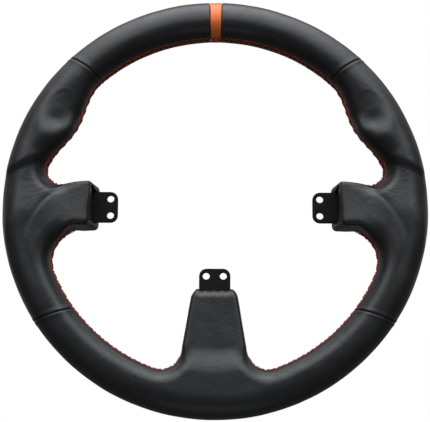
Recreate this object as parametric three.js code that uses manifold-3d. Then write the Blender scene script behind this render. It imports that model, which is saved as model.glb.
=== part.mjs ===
// Racing wheel: a bare leather rim with three spokes, the kind that bolts to a simulator hub.
// Millimetres. X points right, Z up, Y away from the driver. The wheel turns about Y, and its
// centre is the origin. Each spoke is drawn in its own frame: u outward along the spoke,
// t across it, and w along the wheel's axis.

import * as THREE from 'three';
import Module from 'manifold-3d';
import { LoftGeometry } from 'three/addons/geometries/LoftGeometry.js';
import { mergeVertices } from 'three/addons/utils/BufferGeometryUtils.js';

const wasm = await Module();
wasm.setup();

// ---- driving dimensions -----------------------------------------------------------------

const GAP = 0.3;                       // clearance between pieces that touch
const LEATHER = 1.2;                   // leather thickness

const RIM = { outerRadius: 150, gripWidth: 28, gripDepth: 32.4, ringSteps: 56, sectionSteps: 12 };
const THUMB_REST = { height: 8.7, angle: 29.5, halfSpan: 18.4 };

const HOOP = { rodRadius: 5.5, ringSteps: 40, rodSteps: 8 };

const PLATE = {
  width: 22, thickness: 3, front: 5.8, cornerRadius: 4.5, outerEnd: 143,
  holeRadius: 2.5, holeSpacing: 12, holeEdgeDistance: 5.2,
};

// A weld starts root from the rod's middle, reaches toe past the rod along the plate, and
// climbs the rod's side up to tip.
const WELD = { length: 18, root: 1, toe: 3, tip: 1.4 };

const SPOKE_FRONT = -12;               // front face of a spoke, along the axis
const SPOKE_REAR = 16;                 // rear face of a spoke
const SPOKE_CORNER = 5;                // rounding of a spoke's long edges
const ROOT_HALF_DEPTH = 13;            // half depth of a spoke where it has merged with the rim
const ROOT_CORNER = 12.6;              // rounding there, close to the grip's own
const CORNER_STEPS = 3;
const FILLET_STEPS = 5;

const POCKET = { halfWidth: 11.5, rear: 12, depth: 10 };

const PANEL_SEAM = 0.5;                // gap between two neighbouring leather panels
const LACING_SLIT = 0.4;               // gap between the two laced edges of one panel
const THREAD = { radius: 0.45, reach: 4.2, pitch: 6.5, standOff: 1.4, edgeDrop: 0.3 };

const UPPER_SEAM = 45;                 // angle of the upper cross seams above the horizontal
const LOWER_SEAM = 35;                 // angle of the lower cross seams below the horizontal
const MARKER_WIDTH = 9;                // width of the centre marker at the outer radius

// Each spoke: where u and t point in the wheel, how far from the centre its end lies, how
// much its end leans back towards the hub per millimetre of depth, where the front wall of
// its pocket stands, and its two edges. An edge starts at halfWidth, widens by flare degrees
// and meets the rim in a fillet.
const UPPER_EDGE = { side: 1, halfWidth: 14.5, flare: 0, fillet: 10 };
const LOWER_EDGE = { side: -1, halfWidth: 15.3, flare: 0, fillet: 20 };
const FOOT_EDGE = { halfWidth: 15.3, flare: 9.5, fillet: 17 };
const SIDE_SPOKE = { end: 85.4, lean: 0.27, pocketFront: -5.5, plateEnd: 69, lacingRear: 9 };

const SPOKES = {
  left: {
    ...SIDE_SPOKE, u: new THREE.Vector3(-1, 0, 0), t: new THREE.Vector3(0, 0, 1),
    edges: { upper: UPPER_EDGE, lower: LOWER_EDGE },
  },
  right: {
    ...SIDE_SPOKE, u: new THREE.Vector3(1, 0, 0), t: new THREE.Vector3(0, 0, 1),
    edges: { upper: UPPER_EDGE, lower: LOWER_EDGE },
  },
  bottom: {
    end: 62.1, lean: 0.43, pocketFront: 3.5, plateEnd: 44.1, lacingRear: 2,
    u: new THREE.Vector3(0, 0, -1), t: new THREE.Vector3(1, 0, 0),
    edges: { upper: { side: 1, ...FOOT_EDGE }, lower: { side: -1, ...FOOT_EDGE } },
  },
};

// ---- values that follow -----------------------------------------------------------------

const RIM_MIDDLE = RIM.outerRadius - RIM.gripWidth / 2;
const RIM_INNER = RIM.outerRadius - RIM.gripWidth;
const ROOT_RADIUS = RIM_MIDDLE + 5;    // a chord between two points here runs through the grip
const FOAM_INSET = LEATHER + GAP;
const WHEEL_AXIS = new THREE.Vector3(0, 1, 0);

const degrees = THREE.MathUtils.degToRad;
const mix = THREE.MathUtils.lerp;

// ---- materials --------------------------------------------------------------------------

function material(color, roughness, metalness = 0) {
  return new THREE.MeshStandardMaterial({ color, roughness, metalness });
}

const blackLeather = material(0x1e1f21, 0.55);
const orangeLeather = material(0xc0602c, 0.6);
const redThread = material(0xa83a22, 0.7);
const foam = material(0x2b2b2c, 0.95);
const bareSteel = material(0x8d8f92, 0.4, 1);
const blackPaint = material(0x18191a, 0.6, 0.3);

// ---- solids -----------------------------------------------------------------------------

// Signed volume inside a triangle mesh: negative when its faces point inwards.
function signedVolume(points, triangles) {
  const corner = [new THREE.Vector3(), new THREE.Vector3(), new THREE.Vector3()];
  let sum = 0;
  for (let i = 0; i < triangles.length; i += 3) {
    corner.forEach((vector, k) => vector.fromArray(points, 3 * triangles[i + k]));
    sum += corner[0].dot(corner[1].cross(corner[2]));
  }
  return sum / 6;
}

// A closed geometry as a solid that can be joined and cut.
function solid(geometry) {
  const bare = new THREE.BufferGeometry().copy(geometry);
  bare.deleteAttribute('normal');
  bare.deleteAttribute('uv');
  const merged = mergeVertices(bare, 1e-4);
  const vertProperties = Float32Array.from(merged.attributes.position.array);
  const triVerts = Uint32Array.from(merged.index.array);
  if (signedVolume(vertProperties, triVerts) < 0) triVerts.reverse();
  return new wasm.Manifold(new wasm.Mesh({ numProp: 3, vertProperties, triVerts }));
}

// A solid as a named mesh of the assembly.
function piece(name, shape, surface) {
  const { vertProperties, triVerts } = shape.getMesh();
  const geometry = new THREE.BufferGeometry();
  geometry.setAttribute('position', new THREE.BufferAttribute(vertProperties, 3));
  geometry.setIndex(new THREE.BufferAttribute(triVerts, 1));
  const mesh = new THREE.Mesh(geometry.toNonIndexed(), surface);
  mesh.geometry.computeVertexNormals();
  mesh.name = name;
  return mesh;
}

// ---- rim --------------------------------------------------------------------------------

// Inner radius of the grip at an angle round the wheel: the thumb rests swell inwards.
function innerRadius(angle) {
  const fromHorizontal = Math.sin(angle) < 0 ? Infinity : Math.asin(Math.sin(angle));
  const across = (fromHorizontal - degrees(THUMB_REST.angle)) / degrees(THUMB_REST.halfSpan);
  if (!(Math.abs(across) < 1)) return RIM_INNER;
  return RIM_INNER - THUMB_REST.height * Math.cos(across * Math.PI / 2) ** 2;
}

// One oval section of the grip, inset from the leather's outer face.
function rimSection(angle, inset) {
  const halfDepth = RIM.gripDepth / 2 - inset;
  const points = [];
  for (let i = 0; i < RIM.sectionSteps; i++) {
    const turn = 2 * Math.PI * i / RIM.sectionSteps;
    const reach = Math.cos(turn) > 0 ? RIM_MIDDLE - innerRadius(angle) : RIM.gripWidth / 2;
    const radius = RIM_MIDDLE - (reach - inset) * Math.cos(turn);
    points.push(onWheel(radius, angle, halfDepth * Math.sin(turn)));
  }
  return points;
}

function onWheel(radius, angle, y) {
  return new THREE.Vector3(radius * Math.cos(angle), y, radius * Math.sin(angle));
}

function ringAngle(step, steps) {
  return 2 * Math.PI * (step % steps) / steps;
}

function rimSolid(inset) {
  const sections = [];
  for (let i = 0; i <= RIM.ringSteps; i++) {
    sections.push(rimSection(ringAngle(i, RIM.ringSteps), inset));
  }
  return solid(new LoftGeometry(sections, { closed: true }));
}

// ---- spokes -----------------------------------------------------------------------------

// Geometry drawn in a spoke's own frame, moved into the wheel.
function inWheel(spoke, geometry) {
  const frame = new THREE.Matrix4().makeBasis(spoke.u, spoke.t, WHEEL_AXIS);
  return solid(geometry.applyMatrix4(frame));
}

// Centre of the circle that joins a spoke's straight edge to the inside of the rim. It stands
// one fillet radius off the edge and one fillet radius inside the rim. On the edge's own side
// t counts as positive.
function filletCentre(spoke, edge) {
  const flare = degrees(edge.flare);
  const along = new THREE.Vector2(Math.cos(flare), Math.sin(flare));
  const off = new THREE.Vector2(-along.y, along.x).multiplyScalar(edge.fillet);
  const start = new THREE.Vector2(spoke.end, edge.halfWidth).add(off);
  const b = start.dot(along);
  const reach = RIM_INNER - edge.fillet;
  const distance = -b + Math.sqrt(b * b - start.lengthSq() + reach * reach);
  return start.addScaledVector(along, distance);
}

// Points along a spoke's edge, from its end to where the fillet runs straight across the
// spoke, inset from the leather's outer face.
function edgePoints(spoke, edge, inset) {
  const centre = filletCentre(spoke, edge);
  const halfWidth = edge.halfWidth - inset / Math.cos(degrees(edge.flare));
  const points = [new THREE.Vector2(spoke.end, halfWidth)];
  for (let i = 0; i <= FILLET_STEPS; i++) {
    const turn = mix(degrees(edge.flare) - Math.PI / 2, 0, i / FILLET_STEPS);
    const radius = edge.fillet + inset;
    points.push(new THREE.Vector2(Math.cos(turn), Math.sin(turn)).multiplyScalar(radius).add(centre));
  }
  points.forEach((point) => { point.y *= edge.side; });
  return points;
}

// A rounded rectangle across a spoke, between two points on its edges.
function spokeSection(upper, lower, front, rear, corner) {
  const middle = new THREE.Vector2().addVectors(upper, lower).multiplyScalar(0.5);
  const across = new THREE.Vector2().subVectors(upper, lower).multiplyScalar(0.5);
  const halfWidth = across.length();
  const halfDepth = (rear - front) / 2;
  const radius = Math.min(corner, halfDepth - 0.1, halfWidth - 0.1);
  const points = [];
  for (let quarter = 0; quarter < 4; quarter++) {
    for (let i = 0; i <= CORNER_STEPS; i++) {
      const turn = (quarter + i / CORNER_STEPS) * Math.PI / 2;
      const signT = quarter === 0 || quarter === 3 ? 1 : -1;
      const signW = quarter < 2 ? 1 : -1;
      const t = signT * (halfWidth - radius) + radius * Math.cos(turn);
      const w = signW * (halfDepth - radius) + radius * Math.sin(turn);
      const place = middle.clone().addScaledVector(across, t / halfWidth);
      points.push(new THREE.Vector3(place.x, place.y, (front + rear) / 2 + w));
    }
  }
  return points;
}

// A whole spoke: a block with a leaning end that spreads and thins as it runs into the rim.
function spokeSolid(spoke, inset) {
  const upper = edgePoints(spoke, spoke.edges.upper, inset);
  const lower = edgePoints(spoke, spoke.edges.lower, inset);
  const sections = upper.map((point, i) => {
    const merged = THREE.MathUtils.clamp((i - 1) / (FILLET_STEPS - 1), 0, 1);
    const front = mix(SPOKE_FRONT, -ROOT_HALF_DEPTH, merged) + inset;
    const rear = mix(SPOKE_REAR, ROOT_HALF_DEPTH, merged) - inset;
    return spokeSection(point, lower[i], front, rear, mix(SPOKE_CORNER, ROOT_CORNER, merged) - inset);
  });
  const endInset = inset * Math.hypot(1, spoke.lean);
  sections[0].forEach((point) => { point.x = spoke.end + endInset - spoke.lean * point.z; });
  sections.push(rootSection(spoke, inset));
  return inWheel(spoke, new LoftGeometry(sections, { closed: true, capStart: true, capEnd: true }));
}

// The spoke's last section, in the middle of the grip, behind where its edges met the rim.
function rootSection(spoke, inset) {
  const [upper, lower] = [spoke.edges.upper, spoke.edges.lower].map((edge) => {
    const angle = filletCentre(spoke, edge).angle() - inset / RIM_MIDDLE;
    const point = new THREE.Vector2(Math.cos(angle), Math.sin(angle)).multiplyScalar(ROOT_RADIUS);
    point.y *= edge.side;
    return point;
  });
  const halfDepth = ROOT_HALF_DEPTH - inset;
  return spokeSection(upper, lower, -halfDepth, halfDepth, ROOT_CORNER - inset);
}

// The whole padded body, inset from the leather's outer face.
function bodySolid(inset) {
  return Object.values(SPOKES).reduce((body, spoke) => body.add(spokeSolid(spoke, inset)), rimSolid(inset));
}

// A box in a spoke's frame, centred across it.
function spokeBox(spoke, fromU, toU, halfWidth, front, rear) {
  const box = new THREE.BoxGeometry(toU - fromU, 2 * halfWidth, rear - front);
  box.translate((fromU + toU) / 2, 0, (front + rear) / 2);
  return inWheel(spoke, box);
}

// The open pocket in a spoke's end, where the steel plate comes out.
function pocketSolid(spoke) {
  const bottom = spoke.end + POCKET.depth;
  return spokeBox(spoke, spoke.plateEnd, bottom, POCKET.halfWidth, spoke.pocketFront, POCKET.rear);
}

// ---- steel core -------------------------------------------------------------------------

// The round rod bent to a hoop, grown by a clearance where its seat is wanted.
function hoopSolid(grow) {
  const ring = new THREE.TorusGeometry(RIM_MIDDLE, HOOP.rodRadius + grow, HOOP.rodSteps, HOOP.ringSteps);
  return solid(ring.rotateX(Math.PI / 2));
}

function holeAcross(t) {
  const hole = new THREE.Path();
  hole.absarc(PLATE.holeEdgeDistance, t, PLATE.holeRadius, 0, 2 * Math.PI, true);
  return hole;
}

// A flat steel spoke plate with a rounded end and two screw holes.
function plateSolid(spoke) {
  const half = PLATE.width / 2;
  const corner = PLATE.cornerRadius;
  const length = PLATE.outerEnd - spoke.plateEnd;
  const outline = new THREE.Shape();
  outline.moveTo(length, -half);
  outline.lineTo(length, half);
  outline.lineTo(corner, half);
  outline.absarc(corner, half - corner, corner, Math.PI / 2, Math.PI, false);
  outline.absarc(corner, corner - half, corner, Math.PI, 1.5 * Math.PI, false);
  outline.closePath();
  outline.holes.push(holeAcross(PLATE.holeSpacing / 2), holeAcross(-PLATE.holeSpacing / 2));
  const plate = new THREE.ExtrudeGeometry(outline, {
    depth: PLATE.thickness, bevelEnabled: false, curveSegments: 6,
  });
  return inWheel(spoke, plate.translate(spoke.plateEnd, 0, PLATE.front));
}

// A fillet weld between the rod and a plate. facing is -1 inside the hoop and 1 outside it.
// The side that the rod takes up is cut away later.
function weldSolid(spoke, facing, grow) {
  const halfLength = WELD.length / 2 + grow;
  const plateFace = PLATE.front - GAP + grow;
  const tip = WELD.tip - 2 * grow;
  const profile = [
    [WELD.root - grow, plateFace],
    [HOOP.rodRadius + WELD.toe + 2 * grow, plateFace],
    [HOOP.rodRadius + grow, tip],
    [WELD.root - grow, tip],
  ];
  const shape = new THREE.Shape(profile.map(([across, w]) => new THREE.Vector2(facing * across, w)));
  const bead = new THREE.ExtrudeGeometry(shape, { depth: 2 * halfLength, bevelEnabled: false });
  bead.translate(RIM_MIDDLE, 0, -halfLength);
  return inWheel(spoke, bead.rotateX(Math.PI / 2));
}

// ---- foam -------------------------------------------------------------------------------

// The slot that a plate fills in the foam.
function plateSeat(spoke) {
  const rear = PLATE.front + PLATE.thickness + GAP;
  const halfWidth = PLATE.width / 2 + GAP;
  return spokeBox(spoke, spoke.plateEnd, PLATE.outerEnd + GAP, halfWidth, PLATE.front - GAP, rear);
}

// One moulding round the whole steel core, open at the three pockets.
function foamSolid() {
  let moulding = bodySolid(FOAM_INSET).subtract(hoopSolid(GAP));
  for (const spoke of Object.values(SPOKES)) {
    moulding = moulding.subtract(plateSeat(spoke))
      .subtract(weldSolid(spoke, -1, GAP))
      .subtract(weldSolid(spoke, 1, GAP))
      .subtract(pocketSolid(spoke));
  }
  return moulding;
}

// ---- lacing -----------------------------------------------------------------------------

// Where the leather's edges meet along one spoke, from its end to the rim. The line starts
// overrun short of the spoke's end and wanders back from the rim's middle plane.
function edgeLine(spoke, edge, overrun) {
  const points = edgePoints(spoke, edge, 0);
  const shift = spoke.lean * spoke.lacingRear + overrun;
  points[0].x -= shift;
  points[0].y -= edge.side * shift * Math.tan(degrees(edge.flare));
  return points.map((point, i) => {
    const back = spoke.lacingRear * (1 - i / (points.length - 1));
    return spoke.u.clone().multiplyScalar(point.x).addScaledVector(spoke.t, point.y)
      .addScaledVector(WHEEL_AXIS, back);
  });
}

// The angle round the wheel at which a spoke's edge has become the inside of the rim.
function rootAngle(spoke, edge) {
  const centre = filletCentre(spoke, edge);
  const inWheelPlane = spoke.u.clone().multiplyScalar(centre.x)
    .addScaledVector(spoke.t, edge.side * centre.y);
  return Math.atan2(inWheelPlane.z, inWheelPlane.x);
}

// The whole line round one opening, anticlockwise as the driver sees it.
function lacingLine(opening, overrun) {
  const start = edgeLine(opening.from, opening.fromEdge, overrun);
  const end = edgeLine(opening.to, opening.toEdge, overrun).reverse();
  const first = rootAngle(opening.from, opening.fromEdge);
  let last = rootAngle(opening.to, opening.toEdge);
  if (last < first) last += 2 * Math.PI;
  const step = 2 * Math.PI / RIM.ringSteps;
  const alongRim = [];
  for (let i = Math.ceil(first / step); i * step <= last; i++) {
    alongRim.push(onWheel(innerRadius(i * step), i * step, 0));
  }
  return [...start, ...alongRim, ...end];
}

// Direction from the leather into the opening, for a line that runs anticlockwise.
function intoOpening(along) {
  return new THREE.Vector3(-along.z, 0, along.x).normalize();
}

// Four corners of a bar's section. Its sides lie along the wheel's axis and along inward.
function barSection(centre, inward, halfAxial, halfInward) {
  const corners = [[-1, -1], [1, -1], [1, 1], [-1, 1]];
  return corners.map(([axial, depth]) => centre.clone()
    .addScaledVector(WHEEL_AXIS, axial * halfAxial)
    .addScaledVector(inward, depth * halfInward));
}

// The narrow slit between the two laced edges, cut through the leather's thickness.
function slitSolid(opening) {
  const line = lacingLine(opening, 2);
  const depth = 2 * LEATHER;
  const sections = line.map((point, i) => {
    const before = line[Math.max(i - 1, 0)];
    const after = line[Math.min(i + 1, line.length - 1)];
    const inward = intoOpening(after.clone().sub(before));
    return barSection(point, inward, LACING_SLIT / 2, depth);
  });
  return solid(new LoftGeometry(sections, { closed: true, capStart: true, capEnd: true }));
}

// One length of thread laced to and fro across the slit.
function threadSolid(opening) {
  const curve = new THREE.CatmullRomCurve3(lacingLine(opening, -3), false, 'centripetal');
  const legs = 2 * Math.round(curve.getLength() / THREAD.pitch);
  const slant = Math.hypot(THREAD.pitch, 2 * THREAD.reach) / THREAD.pitch;
  const sections = [];
  for (let i = 0; i <= legs; i++) {
    const inward = intoOpening(curve.getTangentAt(i / legs));
    const across = Math.round(Math.cos(i * Math.PI / 2));
    const centre = curve.getPointAt(i / legs)
      .addScaledVector(inward, THREAD.standOff - THREAD.edgeDrop * Math.abs(across))
      .addScaledVector(WHEEL_AXIS, across * THREAD.reach);
    sections.push(barSection(centre, inward, THREAD.radius * slant, THREAD.radius));
  }
  return solid(new LoftGeometry(sections, { closed: true, capStart: true, capEnd: true }));
}

// ---- leather ----------------------------------------------------------------------------

// A wedge of the wheel between two angles in degrees, from its axis to beyond the rim.
function wedge(from, to) {
  const trim = Math.asin(PANEL_SEAM / 2 / RIM_MIDDLE);
  const reach = RIM.outerRadius + 20;
  const start = degrees(from) + trim;
  const shape = new THREE.Shape();
  shape.moveTo(0, 0);
  shape.lineTo(reach * Math.cos(start), reach * Math.sin(start));
  shape.absarc(0, 0, reach, start, degrees(to) - trim, false);
  shape.closePath();
  const depth = RIM.gripDepth + 10;
  const prism = new THREE.ExtrudeGeometry(shape, { depth, bevelEnabled: false, curveSegments: 12 });
  return solid(prism.translate(0, 0, -depth / 2).rotateX(Math.PI / 2));
}

// The leather all over, before it is parted into panels.
function skinSolid(openings) {
  let skin = bodySolid(0).subtract(bodySolid(LEATHER));
  for (const spoke of Object.values(SPOKES)) skin = skin.subtract(pocketSolid(spoke));
  for (const opening of Object.values(openings)) skin = skin.subtract(slitSolid(opening));
  return skin;
}

// ---- assembly ---------------------------------------------------------------------------

// The three spaces between spokes and rim. Each runs anticlockwise between two spoke edges.
const OPENINGS = {
  top: {
    from: SPOKES.right, fromEdge: UPPER_EDGE, to: SPOKES.left, toEdge: UPPER_EDGE,
  },
  lower_left: {
    from: SPOKES.left, fromEdge: LOWER_EDGE, to: SPOKES.bottom, toEdge: SPOKES.bottom.edges.lower,
  },
  lower_right: {
    from: SPOKES.bottom, fromEdge: SPOKES.bottom.edges.upper, to: SPOKES.right, toEdge: LOWER_EDGE,
  },
};

const MARKER_HALF_ANGLE = THREE.MathUtils.radToDeg(MARKER_WIDTH / 2 / RIM.outerRadius);

// Where each leather panel starts and ends, in degrees anticlockwise from the right spoke.
const PANELS = {
  leather_right_grip: [-LOWER_SEAM, UPPER_SEAM],
  leather_top_right: [UPPER_SEAM, 90 - MARKER_HALF_ANGLE],
  leather_top_left: [90 + MARKER_HALF_ANGLE, 180 - UPPER_SEAM],
  leather_left_grip: [180 - UPPER_SEAM, 180 + LOWER_SEAM],
  leather_bottom: [180 + LOWER_SEAM, 360 - LOWER_SEAM],
};

const wheel = new THREE.Group();

wheel.add(piece('rim_hoop', hoopSolid(0), bareSteel));

for (const [name, spoke] of Object.entries(SPOKES)) {
  const clearOfHoop = (weld) => weld.subtract(hoopSolid(GAP));
  wheel.add(piece(`${name}_spoke_plate`, plateSolid(spoke), blackPaint));
  wheel.add(piece(`${name}_inner_weld`, clearOfHoop(weldSolid(spoke, -1, 0)), bareSteel));
  wheel.add(piece(`${name}_outer_weld`, clearOfHoop(weldSolid(spoke, 1, 0)), bareSteel));
}

wheel.add(piece('foam_core', foamSolid(), foam));

const skin = skinSolid(OPENINGS);
for (const [name, [from, to]] of Object.entries(PANELS)) {
  wheel.add(piece(name, skin.intersect(wedge(from, to)), blackLeather));
}
const markerBand = wedge(90 - MARKER_HALF_ANGLE, 90 + MARKER_HALF_ANGLE);
wheel.add(piece('centre_marker', skin.intersect(markerBand), orangeLeather));

for (const [name, opening] of Object.entries(OPENINGS)) {
  wheel.add(piece(`lacing_${name}`, threadSolid(opening), redThread));
}

export default wheel;
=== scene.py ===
"""The racing wheel's looks: laced leather over foam, powder-coated spoke plates and a soft studio.

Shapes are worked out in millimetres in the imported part's own frame: X right, Y away from the
driver and Z up, with the wheel's centre at the origin. A point set is an array of shape (n, 3).
"""

import math
from collections import namedtuple

import bmesh
import bpy
import numpy as np
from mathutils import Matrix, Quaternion, Vector
from mathutils.kdtree import KDTree


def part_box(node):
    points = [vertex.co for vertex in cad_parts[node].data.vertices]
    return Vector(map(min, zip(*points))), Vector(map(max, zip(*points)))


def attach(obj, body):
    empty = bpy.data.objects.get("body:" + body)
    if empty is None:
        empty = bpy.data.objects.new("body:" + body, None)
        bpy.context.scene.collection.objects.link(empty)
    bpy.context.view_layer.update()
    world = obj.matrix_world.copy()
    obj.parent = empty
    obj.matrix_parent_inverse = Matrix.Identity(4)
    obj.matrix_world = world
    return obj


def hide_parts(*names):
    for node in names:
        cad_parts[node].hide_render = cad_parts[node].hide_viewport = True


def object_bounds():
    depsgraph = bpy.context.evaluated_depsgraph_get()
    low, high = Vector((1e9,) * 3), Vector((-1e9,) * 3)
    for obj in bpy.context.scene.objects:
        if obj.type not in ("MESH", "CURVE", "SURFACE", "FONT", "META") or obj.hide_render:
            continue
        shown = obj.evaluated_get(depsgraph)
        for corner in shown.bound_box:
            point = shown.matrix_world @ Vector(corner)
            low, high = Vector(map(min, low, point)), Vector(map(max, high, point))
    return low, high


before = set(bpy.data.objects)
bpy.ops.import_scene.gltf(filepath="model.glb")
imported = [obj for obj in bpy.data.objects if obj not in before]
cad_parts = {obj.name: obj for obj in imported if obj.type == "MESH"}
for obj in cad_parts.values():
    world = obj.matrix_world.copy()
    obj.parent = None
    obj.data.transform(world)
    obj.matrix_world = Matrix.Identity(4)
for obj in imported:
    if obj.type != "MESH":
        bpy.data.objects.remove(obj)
CAD_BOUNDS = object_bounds()

# ---- sizes in millimetres ----

MM = 0.001
BODY = "root"
FAR = 1e3                    # a distance that no test reaches
NEAR = 10                    # a distance that no single triangle spans

RIM_OUTER = CAD_BOUNDS[1].x / MM
GRIP_HALF_DEPTH = CAD_BOUNDS[1].y / MM
GRIP_HALF_WIDTH = 14
RIM_MIDDLE = RIM_OUTER - GRIP_HALF_WIDTH
CREST_INSET = 2.6            # how far inside the rim's middle its front is highest

SPOKE_FRONT = -12
SPOKE_REAR = 16
SIDE_TILT = 0.095            # how much a side spoke's front face leans back towards the top
SIDE_CROWN = 0.0012          # how much that face curves forward above and below its middle
FOOT_TILT = 0.035            # how much the bottom spoke's face leans back towards its end
FOOT_LEVEL = -100            # height at which that face is as deep as SPOKE_FRONT
REAR_CORNER = 5              # rounding of a spoke's rear edges
MERGED_CORNER = 11           # rounding of a spoke's edges where it is part of the rim
MERGE = (-32, -13)           # where that comes about, counted outward from the grip's crest
SPOKE_BLEND = 9              # width of the strip inside a spoke's edge that is still grip

# A spoke: where its end lies, how much the end leans per millimetre of depth, its half widths
# above and below, how its edges flare in degrees, how much each edge is waisted, its two
# fillets into the rim, the radius of its two front edges, and its pocket's depth range.
Spoke = namedtuple("Spoke", "end lean upper lower flare waist fillets corners pocket")
SIDE = Spoke(85.6, 0.214, 15.8, 16.1, 0, (1.2, 2.5), (12, 34), (2.2, 4), (-4, 12))
BOTTOM = Spoke(60.6, 0.2, 15.3, 15.3, 9.5, (0, 0), (17, 17), (4, 4), (4.4, 10.2))

UPPER_WAIST = (105, 10)      # where a side spoke's upper edge is waisted, and how far along
LOWER_WAIST = (101, 6)       # the same for its lower edge
SIDE_ZONE = 60               # a side spoke's face lies past this distance from the middle
FOOT_ZONE = -40              # the bottom spoke's end lies below this height
END_ZONE = 45                # half width of the strip that a spoke's end is cut across

# How round each spoke's end is, at the front and towards the rear.
FOOT_END = (4.5, 3)
LOWER_END = (4, 3.5)         # a side spoke's lower half
UPPER_END = (1.2, 1.5)       # a side spoke's upper half
REAR = (-8, 10)              # depths between which the front gives way to the rear

EAR_HEIGHT = 0.8             # the leather stands up in two ears on the bottom spoke's end
EARS = (12.6, 1.5)           # how far they lie from its middle, and their width
RUFFLE = 0.25                # and it is uneven between them

POCKET_HALF_WIDTH = 11.6
POCKET_DEPTH = 10
POCKET_CORNER = 4
POCKET_FLAT = 0.9            # the least that stays flat between two corners
POCKET_EDGE = 1.2            # rounding of the leather at the pocket's mouth
POCKET_LIP = 5               # how far the leather is turned into the pocket

FOLD_HEIGHT = 12             # a fold in the leather at a side spoke's end, above the plate
FOLD_DEPTH = -3              # where it lies along the wheel's axis
FOLD_RADIUS = 1.4
FOLD_REACH = 4               # how far it runs in from the end

THUMB_REST = (29.5, 18.4)    # its middle and half span, in degrees round the rim
THUMB_REST_HEIGHT = 8.7      # how far the grip swells inwards there

DISH_MIDDLE = (112.5, 62)    # the shallow dish for a thumb, on the front of each rest
DISH_ALONG = (0.3, 0.95)     # how its long axis leans
DISH_HALF_WIDTH = 12
DISH_HALF_LENGTH = 16
DISH_LIP = 4.2               # how high the leather swells round its lower part
DISH_DEPTH = 0.7
DISC_MIDDLE = (108, 73.5)    # a flat round spot at the dish's upper end
DISC_RADIUS = 6.8
DISC_DEPTH = 0.4

SADDLE_DEPTH = 2.8           # of the hollow between a side spoke and its thumb rest
SADDLE_RISE = 0.4            # how much that hollow climbs towards the wheel's middle
SADDLE_OUTER = 145           # where it is level with the side spoke's middle

SLOW_WAVE = 0.09             # height of the leather's wide waves
QUICK_WAVE = 0.03            # and of its narrow ones

# A side spoke's face ends on the rim along an arc and, lower down, along a circle round the
# wheel's centre. It is parted from the rim by a groove and, below, by a step.
FACE_RADIUS = 131.4
FACE_ARC_MIDDLE = (88.5, -27.5)
FACE_ARC_RADIUS = 40
FACE_GROOVE = 0.55
FACE_STEP = 0.9

LEATHER = 1.2
THINNEST_LEATHER = 0.5       # at its turned-in edges
FOAM_INSET = 1.9
SEAM_GAP = 0.15              # between two panels at a cross seam
SEAM_SWELL = 0.3             # how far the leather stands up where a seam's edge is double
EDGE_RADIUS = 0.8            # rounding of a turned-in leather edge

LACING_MIDDLE = -1.2         # where round the grip the laced edges meet
REAR_LACING_INSET = 6        # from a spoke's side to the laced edges on its rear face
STITCH_PITCH = 7.4
STITCH_ROW = 3.6             # from the laced edges to the row of edge stitches
THREAD_RADIUS = 0.34

UPPER_SEAM = (45.5, 47.7)    # degrees round the rim, at its outer and at its inner edge
LOWER_SEAM = (-33.7, -37.4)
MARKER_HALF_ANGLE = math.degrees(4.5 / RIM_OUTER)

NET_STEP = 1.15              # spacing of the leather's mesh
PROBE = 0.05                 # how far off the slope of a surface is measured


# ---- distance functions ----

def ease(x):
    """A smooth step from 0 to 1."""
    x = np.clip(x, 0, 1)
    return x * x * (3 - 2 * x)


def ramp(x, start, end):
    """A smooth step from 0, where x is at start, to 1 at end."""
    return ease((x - start) / (end - start))


def bell(x, middle, width):
    """A smooth hump of height 1."""
    return np.exp(-(((x - middle) / width) ** 2))


def mix(a, b, share):
    return a + (b - a) * share


def round_max(a, b, radius):
    """Both shapes at once, with a rounded edge where they cross."""
    corner = np.hypot(np.maximum(radius + a, 0), np.maximum(radius + b, 0))
    return np.minimum(-radius, np.maximum(a, b)) + corner


def round_min(a, b, radius):
    """Either shape, with a fillet where they cross."""
    corner = np.hypot(np.maximum(radius - a, 0), np.maximum(radius - b, 0))
    return np.maximum(radius, np.minimum(a, b)) - corner


def thumb_swell(x, z):
    """How far the grip swells inwards at the thumb rests."""
    middle, half_span = THUMB_REST
    angle = np.degrees(np.arctan2(z, np.abs(x)))
    across = np.clip((angle - middle) / half_span, -1, 1)
    return THUMB_REST_HEIGHT * np.cos(across * np.pi / 2) ** 2


def spoke_edges(u, t, spoke):
    """Signed distance to a spoke's two long edges, seen from the front."""
    flare = math.radians(spoke.flare)
    upper = t - spoke.upper + spoke.waist[0] * bell(u, *UPPER_WAIST)
    lower = -t - spoke.lower + spoke.waist[1] * bell(u, *LOWER_WAIST)
    return np.maximum(upper, lower) * math.cos(flare) - (u - spoke.end) * math.sin(flare)


def spoke_end(u, w, spoke):
    """Signed distance to the leaning plane at a spoke's end."""
    return (spoke.end - spoke.lean * w - u) / math.hypot(1, spoke.lean)


def oval(across, half_width, y):
    """Signed distance to the grip's oval section, across being the way out from its middle."""
    near = np.hypot(across / half_width, y / GRIP_HALF_DEPTH) + 1e-9
    slope = np.hypot(across / half_width ** 2, y / GRIP_HALF_DEPTH ** 2) + 1e-9
    return near * (near - 1) / slope


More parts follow.
